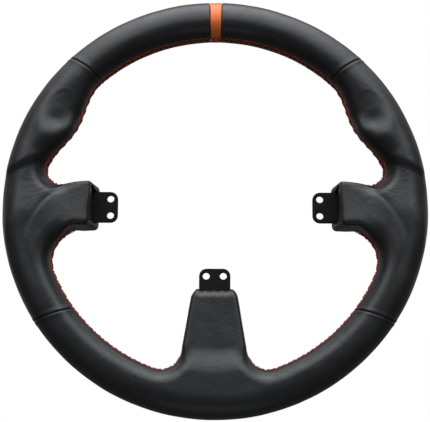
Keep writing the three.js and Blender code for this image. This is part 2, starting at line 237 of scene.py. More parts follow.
def thumb_relief(x, y, z):
    """How far the front of the grip stands proud round the dish where each thumb rests."""
    x = np.abs(x)
    outward = x - DISH_MIDDLE[0]
    upward = z - DISH_MIDDLE[1]
    down = DISH_ALONG[0] * outward - DISH_ALONG[1] * upward
    across = DISH_ALONG[1] * outward + DISH_ALONG[0] * upward
    reach = np.hypot(across / DISH_HALF_WIDTH, down / DISH_HALF_LENGTH)
    lip = np.where(reach < 1, ease(reach), 1 - ease((reach - 1) / 0.9))
    swell = DISH_LIP * lip * ramp(down, -8, 10) * (1 - 0.8 * ramp(across, 0, 13))
    bowl = DISH_DEPTH * np.maximum(1 - reach ** 2, 0) ** 1.5
    from_disc = np.hypot(x - DISC_MIDDLE[0], z - DISC_MIDDLE[1]) / DISC_RADIUS
    disc = DISC_DEPTH * ease((1.1 - from_disc) / 0.4) * (1 - ramp(down, -14, -2))
    within_rim = ease((RIM_OUTER - 1 - np.hypot(x, z)) / GRIP_HALF_WIDTH)
    return ramp(y, 2, -12) * within_rim * (swell - bowl - disc)


def saddle(x, y, z):
    """How far the front recedes between a side spoke and the crease below the thumb rest."""
    x = np.abs(x)
    height = z - SADDLE_RISE * (SADDLE_OUTER - x)
    dip = ramp(height, -18, 14) * (1 - ramp(height, 19, 26.5))
    return SADDLE_DEPTH * dip * ramp(y, 2, -12) * ramp(x, 96, 112)


def face_edge(x, y, z):
    """How far the front sinks along the line where a side spoke's face curves down into the rim."""
    u = np.abs(x)
    middle_u, middle_z = FACE_ARC_MIDDLE
    past_arc = np.hypot(u - middle_u, z - middle_z) - FACE_ARC_RADIUS
    past_edge = np.where(z > middle_z, past_arc, np.hypot(u, z) - FACE_RADIUS)
    groove = FACE_GROOVE * ramp(z, -22, 0) * bell(past_edge, 1.6, 1.7)
    below = ramp(z, -64, -34) * ramp(z, -4, -24)
    step = FACE_STEP * below * ramp(past_edge, 0, 4) * ramp(past_edge, 18, 12)
    return ramp(u, 89, 101) * ramp(y, 0, -8) * (groove + step)


def unevenness(x, y, z):
    """The slight waves that hand-wrapped leather has over foam."""
    slow = np.sin(x / 8.3 + 1.7 * np.sin(z / 13.1)) * np.sin(z / 9.7 + 1.1 * np.sin(x / 11.9))
    quick = np.sin(x / 3.1 + z / 4.3) * np.sin(y / 3.7 + z / 5.9 - x / 6.1)
    return SLOW_WAVE * slow + QUICK_WAVE * quick


def past_spoke_ends(x, y, z):
    """Signed distance past the leaning ends of the spokes, towards the hub."""
    side = np.where(np.abs(z) < END_ZONE, spoke_end(np.abs(x), y, SIDE), -FAR)
    uneven = EAR_HEIGHT * bell(np.abs(x), *EARS) + RUFFLE * np.cos(1.15 * x + 0.6)
    at_foot = (np.abs(x) < END_ZONE) & (z < FOOT_ZONE)
    foot = np.where(at_foot, spoke_end(-z, y, BOTTOM) - uneven, -FAR)
    return np.maximum(side, foot)


def padded_body(points):
    """Signed distance to the whole padded wheel, without its pockets."""
    x, y, z = points.T
    radial = np.hypot(x, z) - RIM_MIDDLE + CREST_INSET
    outer_half = GRIP_HALF_WIDTH + CREST_INSET
    inner_half = GRIP_HALF_WIDTH - CREST_INSET + thumb_swell(x, z)
    rim_edge = -radial - inner_half
    upper_side = ramp(z, -8, 8)
    side_fillet = mix(SIDE.fillets[1], SIDE.fillets[0], upper_side)
    outline = round_min(rim_edge, spoke_edges(np.abs(x), z, SIDE), side_fillet)
    outline = round_min(outline, spoke_edges(-z, np.abs(x), BOTTOM), BOTTOM.fillets[0])

    inside = np.where(radial > 0, radial, np.maximum(inner_half + outline, 0))
    rim = oval(inside, np.where(radial > 0, outer_half, inner_half), y)
    merged = ramp(radial, *MERGE)
    beside = np.abs(x) > SIDE_ZONE
    front_corner = mix(SIDE.corners[1], SIDE.corners[0], np.where(beside, upper_side, 0))
    corner = mix(np.where(y < 0, front_corner, REAR_CORNER), MERGED_CORNER, merged)
    side_front = SIDE_TILT * z - SIDE_CROWN * np.clip(z, -25, 25) ** 2
    front = SPOKE_FRONT + np.where(beside, side_front, FOOT_TILT * (z - FOOT_LEVEL))
    spoke = round_max(outline, np.maximum(front - y, y - SPOKE_REAR), corner)
    body = mix(rim, spoke, ramp(rim_edge - outline, 0, SPOKE_BLEND) * (1 - merged))
    rear = ramp(y, *REAR)
    front_end = mix(LOWER_END[0], UPPER_END[0], upper_side)
    rear_end = mix(LOWER_END[1], UPPER_END[1], upper_side)
    end_edge = np.where(z < FOOT_ZONE, mix(*FOOT_END, rear), mix(front_end, rear_end, rear))
    body = round_max(body, past_spoke_ends(x, y, z), end_edge)
    sunk = saddle(x, y, z) + face_edge(x, y, z)
    return body + sunk - thumb_relief(x, y, z) - unevenness(x, y, z)


def pocket(u, t, w, spoke):
    """Signed distance to the open pocket in a spoke's end."""
    front, rear = spoke.pocket
    depth = np.abs(w - (front + rear) / 2) - (rear - front) / 2
    corner = min(POCKET_CORNER, (rear - front) / 2 - POCKET_FLAT)
    slot = round_max(np.abs(t) - POCKET_HALF_WIDTH, depth, corner)
    return np.maximum(slot, u - spoke.end - POCKET_DEPTH)


def pockets(points):
    """Signed distance to the nearest of the three pockets and the folds above two of them."""
    x, y, z = points.T
    fold = np.hypot(z - FOLD_HEIGHT, (y - FOLD_DEPTH) / 2) - FOLD_RADIUS
    fold = np.maximum(fold, np.abs(x) - SIDE.end - FOLD_REACH)
    foot = np.maximum(pocket(-z, np.abs(x), y, BOTTOM), z)
    return np.minimum(np.minimum(pocket(np.abs(x), z, y, SIDE), fold), foot)


def outer_face(points):
    """Signed distance to the leather's outer face."""
    return round_max(padded_body(points), -pockets(points), POCKET_EDGE)


def gradient(shape, points):
    """Direction in which a distance grows, as unit vectors."""
    slopes = []
    for axis in np.eye(3) * PROBE:
        slopes.append(shape(points + axis) - shape(points - axis))
    slopes = np.stack(slopes, axis=1)
    return slopes / (np.linalg.norm(slopes, axis=1, keepdims=True) + 1e-12)


def settled(shape, points, rounds=3):
    """The points moved onto a shape's surface."""
    for _ in range(rounds):
        points = points - gradient(shape, points) * shape(points)[:, None]
    return points


# ---- surface meshes ----

CELL_CORNERS = np.array([[i, j, k] for i in (0, 1) for j in (0, 1) for k in (0, 1)])


def surface_net(shape, margin, step):
    """Triangles over a shape's surface: one point in each grid cell that the surface crosses."""
    high = np.array([RIM_OUTER, GRIP_HALF_DEPTH, RIM_OUTER]) + np.array(margin)
    axes = [np.arange(-reach, reach + step, step) for reach in high]
    grid = np.stack(np.meshgrid(*axes, indexing="ij"), axis=-1)
    size = grid.shape[:3]
    field = shape(grid.reshape(-1, 3)).reshape(size)
    inside = field < 0
    cells = tuple(n - 1 for n in size)

    def at_corner(array, corner):
        i, j, k = corner
        return array[i:i + cells[0], j:j + cells[1], k:k + cells[2]]

    count = sum(at_corner(inside, corner).astype(int) for corner in CELL_CORNERS)
    crossed = (count > 0) & (count < 8)
    number = np.full(cells, -1)
    number[crossed] = np.arange(crossed.sum())

    total = np.zeros((crossed.sum(), 3))
    crossings = np.zeros(crossed.sum())
    for start in CELL_CORNERS:
        for axis in range(3):
            if start[axis]:
                continue
            end = start.copy()
            end[axis] = 1
            a = at_corner(field, start)[crossed]
            b = at_corner(field, end)[crossed]
            cut = (a < 0) != (b < 0)
            share = np.where(cut, a / np.where(cut, a - b, 1), 0)
            total += cut[:, None] * (start + share[:, None] * (end - start))
            crossings += cut
    origin = np.array([axis[0] for axis in axes])
    points = origin + (np.argwhere(crossed) + total / crossings[:, None]) * step

    triangles = []
    for axis in range(3):
        one, two = [n for n in range(3) if n != axis]
        along = np.eye(3, dtype=int)
        first = np.argwhere(inside != np.roll(inside, -1, axis))
        first = first[np.all((first > 0) & (first < np.array(size) - 1), axis=1)]
        quad = [first, first - along[one], first - along[one] - along[two], first - along[two]]
        quad = np.stack([number[tuple(q.T)] for q in quad], axis=1)
        flip = inside[tuple(first.T)] == (axis == 1)
        quad[flip] = quad[flip][:, ::-1]
        triangles += [quad[:, [0, 1, 2]], quad[:, [0, 2, 3]]]
    return points, np.concatenate(triangles)


def relaxed(shape, points, triangles):
    """The points spread evenly over a shape's surface."""
    for _ in range(3):
        total = np.zeros_like(points)
        count = np.zeros(len(points))
        for i in range(3):
            np.add.at(total, triangles[:, i], points[triangles[:, (i + 1) % 3]])
            np.add.at(count, triangles[:, i], 1)
        points = settled(shape, mix(points, total / count[:, None], 0.6), 2)
    return points


def drawn_to_line(points, field):
    """The leather's points, with those close to a line moved onto it so as to leave no sliver."""
    values = field(points)
    close = np.abs(values) < 0.3 * NET_STEP
    if close.any():
        across = gradient(field, points[close])
        points = points.copy()
        points[close] = settled(outer_face, points[close] - across * values[close][:, None], 1)
    return points


def split(points, triangles, values):
    """The mesh with new edges along the line on the surface where values is zero."""
    values = np.where(np.abs(values) < 1e-3, 0, values)
    corners = values[triangles]
    crossing = (corners.max(axis=1) > 0) & (corners.min(axis=1) < 0)
    crossing &= np.abs(corners).max(axis=1) < NEAR
    kept = [triangles[~crossing]]
    added = {}
    new_points = []

    def between(a, b):
        key = (min(a, b), max(a, b))
        if key not in added:
            low, high = key
            share = values[low] / (values[low] - values[high])
            new_points.append(mix(points[low], points[high], share))
            added[key] = len(points) + len(new_points) - 1
        return added[key]

    pieces = []
    for triangle in triangles[crossing].tolist():
        signs = np.sign(values[triangle])
        if 0 in signs:
            turn = int(np.argmin(np.abs(signs)))
            a, b, c = triangle[turn:] + triangle[:turn]
            middle = between(b, c)
            pieces += [(a, b, middle), (a, middle, c)]
        else:
            turn = int(np.argmax(signs * -np.sign(signs.sum())))
            a, b, c = triangle[turn:] + triangle[:turn]
            ab, ac = between(a, b), between(a, c)
            pieces += [(a, ab, ac), (ab, b, c), (ab, c, ac)]
    if pieces:
        kept.append(np.array(pieces))
        points = np.concatenate([points, np.array(new_points)])
    return points, np.concatenate(kept)


def without_slivers(points, triangles, shortest):
    """The triangles left when every edge under a length has shrunk to a point."""
    edges = np.concatenate([triangles[:, [0, 1]], triangles[:, [1, 2]], triangles[:, [2, 0]]])
    edges = np.unique(np.sort(edges, axis=1), axis=0)
    lengths = np.linalg.norm(points[edges[:, 0]] - points[edges[:, 1]], axis=1)
    kept = np.arange(len(points))
    for low, high in edges[lengths < shortest].tolist():
        kept[high] = kept[low]
    a, b, c = kept[triangles].T
    whole = (a != b) & (b != c) & (c != a)
    triangles = np.stack([a, b, c], axis=1)[whole]
    ordered = np.sort(triangles, axis=1)
    _, first, count = np.unique(ordered, axis=0, return_index=True, return_counts=True)
    return triangles[np.sort(first[count == 1])]


def new_piece(name, points, faces, node=None):
    """An object with smooth faces, in metres, that rides on the wheel."""
    mesh = bpy.data.meshes.new(name)
    mesh.from_pydata((points * MM).tolist(), [], faces)
    mesh.shade_smooth()
    mesh.update()
    piece = bpy.data.objects.new(name, mesh)
    bpy.context.collection.objects.link(piece)
    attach(piece, BODY)
    if node:
        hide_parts(node)
    return piece


# ---- where the leather's edges lie ----

def mirrored(seam):
    return tuple(180 - angle for angle in seam)


def degrees_past(seam, points):
    """Angle of each point past a cross seam, which runs from an outer to an inner angle."""
    outer, inner = seam
    x, y, z = points.T
    share = (RIM_OUTER - np.hypot(x, z)) / (2 * GRIP_HALF_WIDTH)
    past = np.degrees(np.arctan2(z, x)) - mix(outer, inner, np.clip(share, -0.5, 2))
    return (past + 180) % 360 - 180


def seam_field(seam):
    """Distance past a cross seam along the rim."""
    def field(points):
        return np.radians(degrees_past(seam, points)) * np.hypot(points[:, 0], points[:, 2])

    return field


def lacing_level(x, z):
    """Depth at which the laced edges meet. On a spoke they run round to its rear face."""
    on_side = ramp(np.abs(x), 110, 96) * (1 - ramp(np.abs(z), 20, 28))
    on_foot = ramp(z, -112, -98) * (1 - ramp(np.abs(x), 25, 33)) * (z < FOOT_ZONE)
    inset_side = np.clip(-spoke_edges(np.abs(x), z, SIDE), 0, 12)
    inset_foot = np.clip(-spoke_edges(-z, np.abs(x), BOTTOM), 0, 12)
    behind = SPOKE_REAR - LACING_MIDDLE + REAR_LACING_INSET
    return LACING_MIDDLE + on_side * (behind - inset_side) + on_foot * (behind - inset_foot)


def lacing_field(points):
    """Distance behind the line where the laced edges meet, along the wheel's axis."""
    x, y, z = points.T
    outside = np.hypot(x, z) > RIM_MIDDLE
    return np.where(outside, FAR, y - lacing_level(x, z))


def lip_field(points):
    """How deep a point lies in a pocket, past the turned-in leather."""
    x, y, z = points.T
    depths = []
    for u, t, spoke in ((np.abs(x), z, SIDE), (-z, np.abs(x), BOTTOM)):
        past_lip = -spoke_end(u, y, spoke) - POCKET_LIP
        depths.append(np.where(pocket(u, t, y, spoke) < 2, past_lip, -FAR))
    return np.maximum(*depths)


# ---- the laced line ----

END_MARGIN = 3               # the lacing starts this far from a spoke's end
START_HEIGHT = 9             # and about this far above or below a side spoke's middle
TRACE_STEP = 0.5
LONGEST_TRACE = 2000         # in steps


def on_lacing(x, z):
    """Zero where the body's surface meets the lacing, seen from the front."""
    level = lacing_level(x, z)
    return padded_body(np.stack([x, level, z], axis=1))


def traced_lacing(start, heading, finished):
    """Points along a laced edge from a start, each half a millimetre on from the last."""
    place = np.array(start, float)
    heading = np.array(heading, float)
    line = []
    for _ in range(LONGEST_TRACE):
        for _ in range(4):
            probes = place + PROBE * np.array([[0, 0], [1, 0], [-1, 0], [0, 1], [0, -1]])
            here, east, west, north, south = on_lacing(probes[:, 0], probes[:, 1])
            slope = np.array([east - west, north - south]) / (2 * PROBE)
            place = place - slope * here / (slope @ slope)
        line.append(place)
        tangent = np.array([-slope[1], slope[0]]) / np.linalg.norm(slope)
        heading = tangent * np.sign(tangent @ heading)
        place = place + heading * TRACE_STEP
        if len(line) > 20 and finished(*place):
            break
    line = np.array(line)
    return np.stack([line[:, 0], lacing_level(line[:, 0], line[:, 1]), line[:, 1]], axis=1)


def traced_lacings():
    """The three laced lines, each from one spoke's end to the next."""
    side_start = SIDE.end + END_MARGIN
    foot_start = BOTTOM.end + END_MARGIN
    above = (side_start, START_HEIGHT)
    below = (-side_start, -START_HEIGHT)
    top = traced_lacing(above, (1, 0), lambda x, z: -side_start < x < 0 and z < 22)
    left = traced_lacing(below, (-1, 0), lambda x, z: abs(x) < 30 and z > -foot_start)
    right = left[::-1] * np.array([-1, 1, 1])
    return {"lacing_top": top, "lacing_lower_left": left, "lacing_lower_right": right}


LACING_LINES = traced_lacings()


def distances_along(line):
    """How far along its line each of its points lies."""
    steps = np.linalg.norm(np.diff(line, axis=0), axis=1)
    return np.concatenate([[0], np.cumsum(steps)])


def stitch_count(line):
    return round(distances_along(line)[-1] / STITCH_PITCH)


def stitch_phase(points):
    """For each point, how many stitches lie before it on the nearest lacing."""
    tree = KDTree(sum(len(line) for line in LACING_LINES.values()))
    phases = []
    for line in LACING_LINES.values():
        along = distances_along(line)
        for place, distance in zip(line, along):
            tree.insert(place, len(phases))
            phases.append(distance / along[-1] * stitch_count(line))
    tree.balance()
    return np.array([phases[tree.find(point)[1]] for point in points])


# ---- leather panels ----

# The mesh has a line of points at each of these distances from a panel's edge, and from an edge
# in a pocket.
EDGE_LEVELS = (0, 0.08, 0.25, 0.5, 0.8, 1.4)
LIP_LEVELS = (0, 0.5, 1.1)

NET_MARGIN = (4, 8, 4)       # room for the surface to swell past the CAD
SLIT = 0.4                   # between the two laced edges
SHORTEST_EDGE = 0.04
PULL = 0.45                  # how far the lacing draws the leather in
BULGE = 0.2                  # and how much less between two stitches
MARKER_EDGE = (90 - MARKER_HALF_ANGLE,) * 2
SEAMS = (
    LOWER_SEAM, UPPER_SEAM, MARKER_EDGE,
    mirrored(MARKER_EDGE), mirrored(UPPER_SEAM), mirrored(LOWER_SEAM),
)
# Each panel lies between the seam of the same number and the next one round.
PANELS = (
    "leather_right_grip", "leather_top_right", "centre_marker",
    "leather_top_left", "leather_left_grip", "leather_bottom",
)


def edge_distance(points):
    """Distance from each point to the nearest edge of its panel, along the surface."""
    distance = np.abs(lacing_field(points)) - SLIT / 2
    for seam in SEAMS:
        distance = np.minimum(distance, np.abs(seam_field(seam)(points)) - SEAM_GAP / 2)
    return np.minimum(distance, -lip_field(points))


def turned_in(distance):
    """How far the leather dips at a distance from its turned-in edge."""
    left = np.clip(1 - distance / EDGE_RADIUS, 0, 1)
    return EDGE_RADIUS * (1 - np.sqrt(1 - left ** 2))


def folded(points):
    """How far the leather stands up beside a cross seam, where its edge is folded double."""
    swell = np.zeros(len(points))
    for seam in (UPPER_SEAM, LOWER_SEAM, mirrored(UPPER_SEAM), mirrored(LOWER_SEAM)):
        swell = np.maximum(swell, bell(np.abs(seam_field(seam)(points)), 1.6, 1.3))
    return SEAM_SWELL * swell


def lacing_pull(points):
    """How far the lacing draws the leather in, less where it bulges between two stitches."""
    from_slit = np.abs(lacing_field(points))
    near = from_slit < 4 * STITCH_ROW
    pull = np.zeros(len(points))
    phase = stitch_phase(points[near])
    fade = np.exp(-((from_slit[near] / STITCH_ROW) ** 2))
    pull[near] = (PULL - BULGE * np.cos(2 * np.pi * phase)) * fade
    return pull


def leather_surface():
    """The whole outer face, with edges along every line where it is parted or turned in."""
    points, triangles = surface_net(outer_face, NET_MARGIN, NET_STEP)
    points = relaxed(outer_face, points, triangles)
    lines = [(seam_field(seam), SEAM_GAP / 2) for seam in SEAMS] + [(lacing_field, SLIT / 2)]
    for field, half_gap in lines:
        points = drawn_to_line(points, field)
        for side in (-1, 1):
            for level in EDGE_LEVELS:
                values = side * field(points) - half_gap - level
                points, triangles = split(points, triangles, values)
    for level in LIP_LEVELS:
        points, triangles = split(points, triangles, lip_field(points) + level)
    points = settled(outer_face, points, 2)
    return points, without_slivers(points, triangles, SHORTEST_EDGE)


def shell(outer, inner, triangles):
    """A closed skin between two faces that share their triangles."""
    used, numbers = np.unique(triangles, return_inverse=True)
    front = numbers.reshape(triangles.shape)
    count = len(used)
    directed = {(a, b) for t in front.tolist() for a, b in zip(t, t[1:] + t[:1])}
    rim = [(a, b) for a, b in directed if (b, a) not in directed]
    faces = front.tolist() + (front[:, ::-1] + count).tolist()
    faces += [[b, a, a + count, b + count] for a, b in sorted(rim)]
    return np.concatenate([outer[used], inner[used]]), faces


def make_panels():
    """The five black panels and the marker, each a closed skin with turned-in edges."""
    points, triangles = leather_surface()
    middles = points[triangles].mean(axis=1)
    solid_part = edge_distance(middles) > 0
    past = [degrees_past(seam, middles) % 360 for seam in SEAMS]
    normals = gradient(outer_face, points)
    dip = turned_in(edge_distance(points))
    outer = points - normals * (dip + lacing_pull(points) - folded(points))[:, None]
    inner = points - normals * np.maximum(LEATHER, dip + THINNEST_LEATHER)[:, None]
    panels = {}
    for number, name in enumerate(PANELS):
        chosen = solid_part & (past[number] < 180) & (past[(number + 1) % len(SEAMS)] > 180)
        vertices, faces = shell(outer, inner, triangles[chosen])
        panels[name] = new_piece(name + "_skin", vertices, faces, name)
    return panels


# ---- thread ----

TANGENT_REACH = 0.6          # how far each way a laced line's direction is measured
STRAND_SIDES = 8
PLY_DEPTH = 0.2              # share of the thread's radius that the valleys take
PLY_TWIST = 2.2              # radians of twist for each millimetre
POINTS_PER_STITCH = 12
POINTS_PER_EDGE_STITCH = 11
EDGE_STITCH = 0.27           # half its length, as a share of the pitch
BURIED = -0.6                # height of the lacing where it passes under an edge stitch
LOOSE = 0.1                  # and where it leaves that stitch
OVER_SLIT = {-1: -0.4, 1: 0.25}  # height over the slit of each of the lacing's strands
STITCH_RISE = 0.15           # height of an edge stitch's middle
STITCH_DROP = 1.1            # how much lower its ends are


def beside_slit(line, along, across, lift):
    """Places on the leather: along the laced line, across it and lifted off the surface."""
    lengths = distances_along(line)

    def at(distance):
        return np.stack([np.interp(distance, lengths, line[:, axis]) for axis in range(3)], axis=1)

    place = at(along)
    tangent = at(along + TANGENT_REACH) - at(along - TANGENT_REACH)
    normal = gradient(padded_body, place)
    sideways = np.cross(normal, tangent)
    sideways /= np.linalg.norm(sideways, axis=1, keepdims=True)
    place = settled(padded_body, place + sideways * across[:, None], 3)
    return place + gradient(padded_body, place) * lift[:, None]


def strand(path):
    """A closed tube of two twisted plies along a path."""
    sides = STRAND_SIDES
    tangent = np.gradient(path, axis=0)
    tangent /= np.linalg.norm(tangent, axis=1, keepdims=True)
    up = np.cross(tangent[0], [0.3, 0.5, 0.8])
    rings = []
    travelled = distances_along(path)
    for place, along, distance in zip(path, tangent, travelled):
        up = up - along * (up @ along)
        up /= np.linalg.norm(up)
        side = np.cross(along, up)
        turn = np.linspace(0, 2 * np.pi, sides, endpoint=False)
        ply = np.abs(np.cos(turn - PLY_TWIST * distance))
        reach = THREAD_RADIUS * (1 - PLY_DEPTH + PLY_DEPTH * ply)
        spokes = np.cos(turn)[:, None] * up + np.sin(turn)[:, None] * side
        rings.append(place + reach[:, None] * spokes)
    vertices = np.concatenate(rings)
    faces = [list(range(sides))[::-1], [len(vertices) - sides + i for i in range(sides)]]
    for ring in range(len(path) - 1):
        for i in range(sides):
            a, b = ring * sides + i, ring * sides + (i + 1) % sides
            faces.append([a, b, b + sides, a + sides])
    return vertices, faces


def joined(parts):
    """Several meshes as one."""
    vertices = []
    faces = []
    count = 0
    for part_vertices, part_faces in parts:
        vertices.append(part_vertices)
        faces += [[i + count for i in face] for face in part_faces]
        count += len(part_vertices)
    return np.concatenate(vertices), faces


def make_thread(name, line):
    """The lacing's zigzag over the slit, and the row of edge stitches it hooks on each side."""
    length = distances_along(line)[-1]
    count = stitch_count(line)
    pitch = length / count
    share = np.linspace(0, 1, count * POINTS_PER_STITCH + 1)
    turn = 2 * np.pi * share * count
    dip = np.abs(np.cos(turn)) ** 3
    zigzags = []
    for side, height in OVER_SLIT.items():
        across = side * STITCH_ROW * np.cos(turn)
        lift = mix(mix(LOOSE, height, np.abs(np.sin(turn))), BURIED, dip)
        zigzags.append(strand(beside_slit(line, share * length, across, lift)))
    lacing = new_piece(name + "_thread", *joined(zigzags), name)

    stitches = []
    from_middle = np.linspace(-1, 1, POINTS_PER_EDGE_STITCH)
    rise = STITCH_RISE - STITCH_DROP * np.abs(from_middle) ** 6
    for row in (-1, 1):
        offset = np.full(len(from_middle), row * (STITCH_ROW + 0.1))
        for k in range(count):
            middle = (k + (0 if row < 0 else 0.5)) * pitch
            along = middle + from_middle * EDGE_STITCH * pitch
            if along[0] >= 0 and along[-1] <= length:
                stitches.append(strand(beside_slit(line, along, offset, rise)))
    rows = new_piece(name.replace("lacing", "edge_stitches"), *joined(stitches))
    return [lacing, rows]


# ---- foam and steel ----

PLATE_LOW, PLATE_HIGH = (np.array(corner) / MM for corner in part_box("right_spoke_plate"))
PLATE_CORNER = 5.3
PLATE_CHAMFER = 0.35
HOLE_RADIUS = 2.5
HOLE_INSET = 5.2             # from the plate's end to the middle of each hole
HOLE_OFFSET = 6              # from the plate's middle to each hole's
ROD_ROOM = 5.8               # radius of the foam's seat for the hoop
PLATE_ROOM = 0.3             # clearance between foam and plate
WELD_ROOM = (9.2, 9.3, 2.6)  # half sizes of the foam's seat for a plate's welds
WELD_DEPTH = 3.2             # its middle along the wheel's axis
FOAM_STEP = 1.9              # spacing of the foam's mesh
FOAM_MARGIN = (0, 4, 0)
CRUMB_POINTS = 1000          # a lump of foam with fewer points is a crumb and is dropped


def plate_seat(u, t, w):
    """Signed distance to the slot that a plate fills, with room for its welds."""
    slot_width = np.abs(t) - PLATE_HIGH[2] - PLATE_ROOM
    slot_depth = np.maximum(PLATE_LOW[1] - PLATE_ROOM - w, w - PLATE_HIGH[1] - PLATE_ROOM)
    slot = np.maximum(np.maximum(slot_width, slot_depth), u - PLATE_HIGH[0] - PLATE_ROOM)
    along, across, deep = WELD_ROOM
    welds = np.maximum(np.abs(t) - across, np.abs(u - RIM_MIDDLE) - along)
    return np.minimum(slot, np.maximum(welds, np.abs(w - WELD_DEPTH) - deep))


def foam_body(points):
    """Signed distance to the foam moulding, open at the pockets and hollow round the steel."""
    x, y, z = points.T
    rod = np.hypot(np.hypot(x, z) - RIM_MIDDLE, y) - ROD_ROOM
    seats = np.minimum(plate_seat(np.abs(x), z, y), plate_seat(-z, np.abs(x), y))
    rooms = np.minimum(np.minimum(rod, seats), pockets(points) - FOAM_INSET)
    return np.maximum(padded_body(points) + FOAM_INSET, -rooms)


def drop_crumbs(mesh):
    """Takes away the small loose lumps of a mesh."""
    work = bmesh.new()
    work.from_mesh(mesh)
    remaining = set(work.verts)
    crumbs = []
    while remaining:
        lump = {remaining.pop()}
        front = list(lump)
        while front:
            vertex = front.pop()
            near = {edge.other_vert(vertex) for edge in vertex.link_edges}
            front += near - lump
            lump |= near
        remaining -= lump
        if len(lump) < CRUMB_POINTS:
            crumbs += lump
    bmesh.ops.delete(work, geom=crumbs)
    work.to_mesh(mesh)
    work.free()


def make_foam():
    """The foam moulding, in one piece."""
    points, triangles = surface_net(foam_body, FOAM_MARGIN, FOAM_STEP)
    foam = new_piece("foam_moulding", points, triangles.tolist(), "foam_core")
    drop_crumbs(foam.data)
    return foam


def ring_points(centre, radius, start, end, count):
    """Points on an arc, from one angle to another in quarter turns."""
    turn = np.linspace(start, end, count) * np.pi / 2
    return np.stack([centre[0] + radius * np.cos(turn), centre[1] + radius * np.sin(turn)], axis=1)


def plate_loops(length, half):
    """A plate's outline and its two holes, in the plate's own plane."""
    corner = PLATE_CORNER
    outline = np.concatenate([
        ring_points((corner, corner - half), corner, 2, 3, 9),
        [(length, -half), (length, half)],
        ring_points((corner, half - corner), corner, 1, 2, 9),
    ])
    loops = [outline]
    for t in (-HOLE_OFFSET, HOLE_OFFSET):
        loops.append(ring_points((HOLE_INSET, t), HOLE_RADIUS, 0, 4, 33)[:-1])
    return loops


def slab(name, loops, thickness):
    """The points and faces of a flat slab inside its first loop, with the others as holes."""
    curve = bpy.data.curves.new(name, "CURVE")
    curve.dimensions = "2D"
    curve.fill_mode = "BOTH"
    for loop in loops:
        spline = curve.splines.new("POLY")
        spline.points.add(len(loop) - 1)
        for point, (x, y) in zip(spline.points, loop):
            point.co = (x, y, 0, 1)
        spline.use_cyclic_u = True
    curve.extrude = thickness / 2 - PLATE_CHAMFER
    curve.bevel_depth = PLATE_CHAMFER
    curve.bevel_resolution = 2
    curve.offset = -PLATE_CHAMFER
    drawn = bpy.data.objects.new(name, curve)
    bpy.context.collection.objects.link(drawn)
    mesh = bpy.data.meshes.new_from_object(drawn)
    bpy.data.objects.remove(drawn)
    work = bmesh.new()
    work.from_mesh(mesh)
    bmesh.ops.remove_doubles(work, verts=work.verts, dist=0.005)
    bmesh.ops.recalc_face_normals(work, faces=work.faces)
    points = np.array([vert.co for vert in work.verts])
    faces = [[vert.index for vert in face.verts] for face in work.faces]
    work.free()
    bpy.data.meshes.remove(mesh)
    return points, faces


def make_plate(name, outward, across, inner_end):
    """A flat spoke plate with round corners, two holes and softly broken edges."""
    loops = plate_loops(PLATE_HIGH[0] - inner_end, PLATE_HIGH[2])
    local, faces = slab(name, loops, PLATE_HIGH[1] - PLATE_LOW[1])
    middle = (PLATE_LOW[1] + PLATE_HIGH[1]) / 2
    points = np.outer(inner_end + local[:, 0], outward) + np.outer(local[:, 1], across)
    points += np.outer(middle + local[:, 2], (0, 1, 0))
    plate = new_piece(name + "_steel", points, faces, name)
    for face in plate.data.polygons:
        face.use_smooth = abs(face.normal.y) < 0.99
    return plate


# ---- materials ----

NOISE_LOW = 0.3              # nearly all of a noise texture's values lie between these
NOISE_HIGH = 0.7


def maths(tree, operation, first, second=0):
    """The result of one sum on two sockets or numbers."""
    node = tree.nodes.new("ShaderNodeMath")
    node.operation = operation
    for socket, value in zip(node.inputs, (first, second)):
        if isinstance(value, bpy.types.NodeSocket):
            tree.links.new(value, socket)
        else:
            socket.default_value = value
    return node.outputs["Value"]


